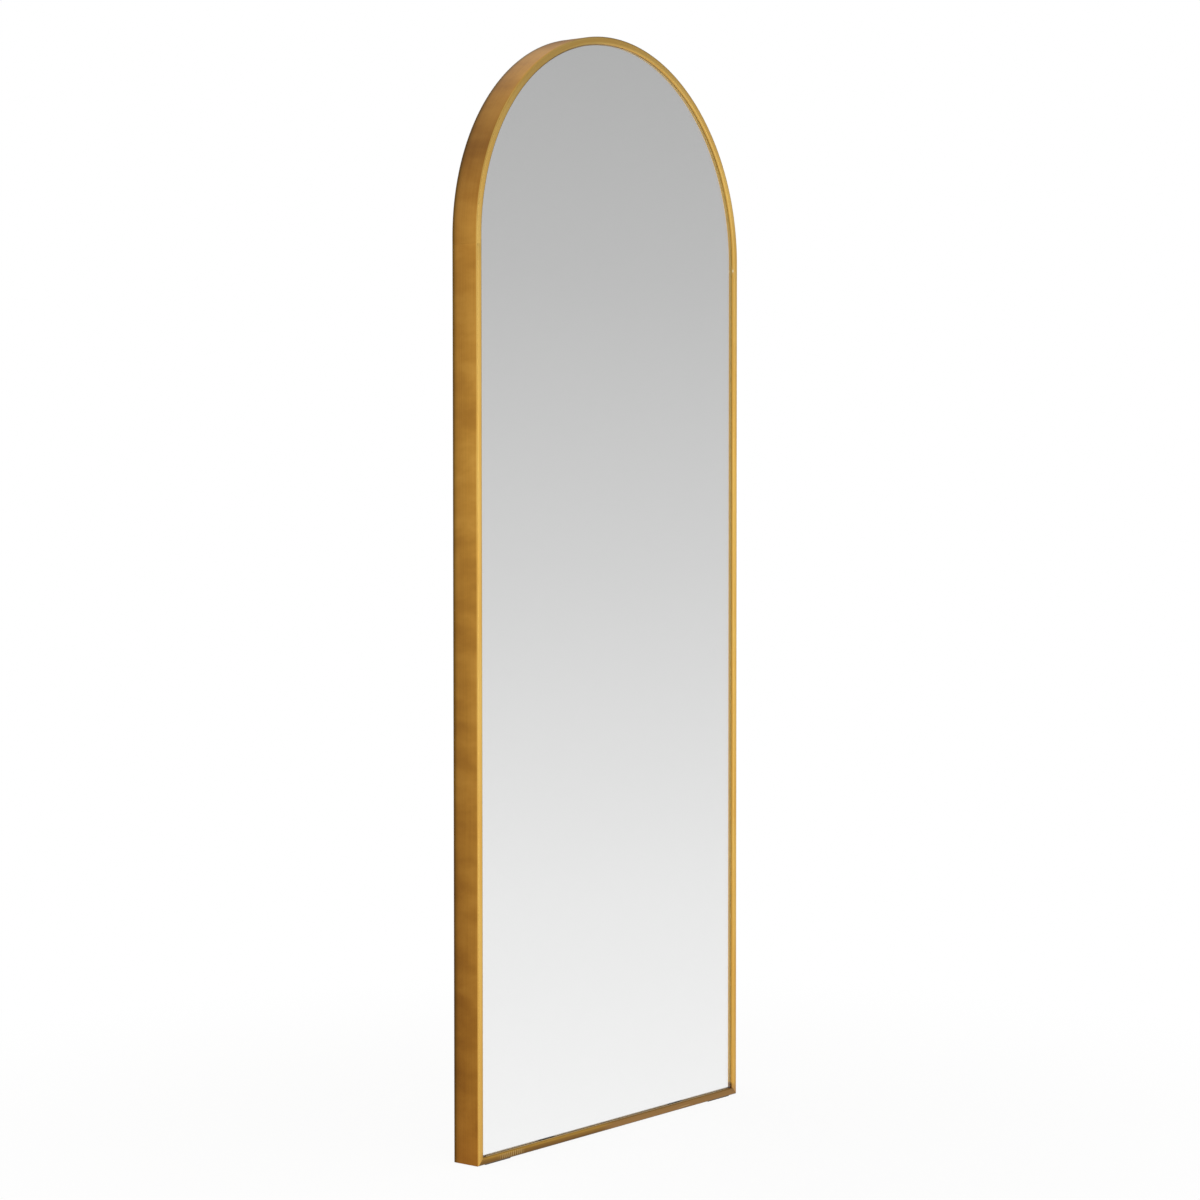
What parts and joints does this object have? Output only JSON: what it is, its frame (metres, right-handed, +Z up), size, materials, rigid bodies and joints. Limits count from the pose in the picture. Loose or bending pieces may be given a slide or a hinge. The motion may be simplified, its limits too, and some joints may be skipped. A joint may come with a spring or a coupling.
{
  "type": "leaning floor mirror",
  "caption": "Tall arched mirror in a deep, narrow antique brass tube frame, to lean on or hang from a wall, with hinged hanging rings on its back.",
  "frame": {"origin": "on the floor, under the middle of the frame's width and of its depth with the wall pads", "axes": "+X to the right as seen from the front, +Y towards the wall, +Z up; the pane faces -Y"},
  "size_m": [0.6858, 0.0528, 1.779],
  "materials": {
    "frame_metal": "satin",
    "bare_steel": "satin",
    "pane": "polished",
    "safety_film": "satin",
    "foam_tape": "matte",
    "fibreboard": "matte",
    "pad_rubber": "matte",
    "clear_bumper": "satin",
    "zinc_plate": "satin"
  },
  "bodies": {
    "mirror": {"arch_tube": "frame_metal", "left_stile": "frame_metal", "right_stile": "frame_metal", "bottom_rail": "frame_metal", "left_splice_sleeve": "bare_steel", "right_splice_sleeve": "bare_steel", "mirror_glass": "pane", "silver_film": "safety_film", "mounting_tape": "foam_tape", "backing_board": "fibreboard", "setting_blocks": "pad_rubber", "arch_tabs": "frame_metal", "left_tabs": "frame_metal", "right_tabs": "frame_metal", "bottom_tabs": "frame_metal", "tab_screws": "zinc_plate", "left_hanger_strap": "zinc_plate", "right_hanger_strap": "zinc_plate", "tether_strap": "zinc_plate", "hanger_screws": "zinc_plate", "wall_bumpers": "clear_bumper", "floor_pads": "pad_rubber"},
    "left_ring": {"left_hanger_ring": "zinc_plate"},
    "right_ring": {"right_hanger_ring": "zinc_plate"},
    "tether_ring_body": {"tether_ring": "zinc_plate"}
  },
  "joints": [
    {"name": "left_ring_swing", "type": "hinge", "parent": "mirror", "child": "left_ring", "pos_m": [-0.233, -0.0045, 1.3], "axis": [1, 0, 0], "range_deg": [0, 178]},
    {"name": "right_ring_swing", "type": "hinge", "parent": "mirror", "child": "right_ring", "pos_m": [0.233, -0.0045, 1.3], "axis": [1, 0, 0], "range_deg": [0, 178]},
    {"name": "tether_ring_swing", "type": "hinge", "parent": "mirror", "child": "tether_ring_body", "pos_m": [0, -0.0045, 1.64], "axis": [1, 0, 0], "range_deg": [0, 178]}
  ]
}
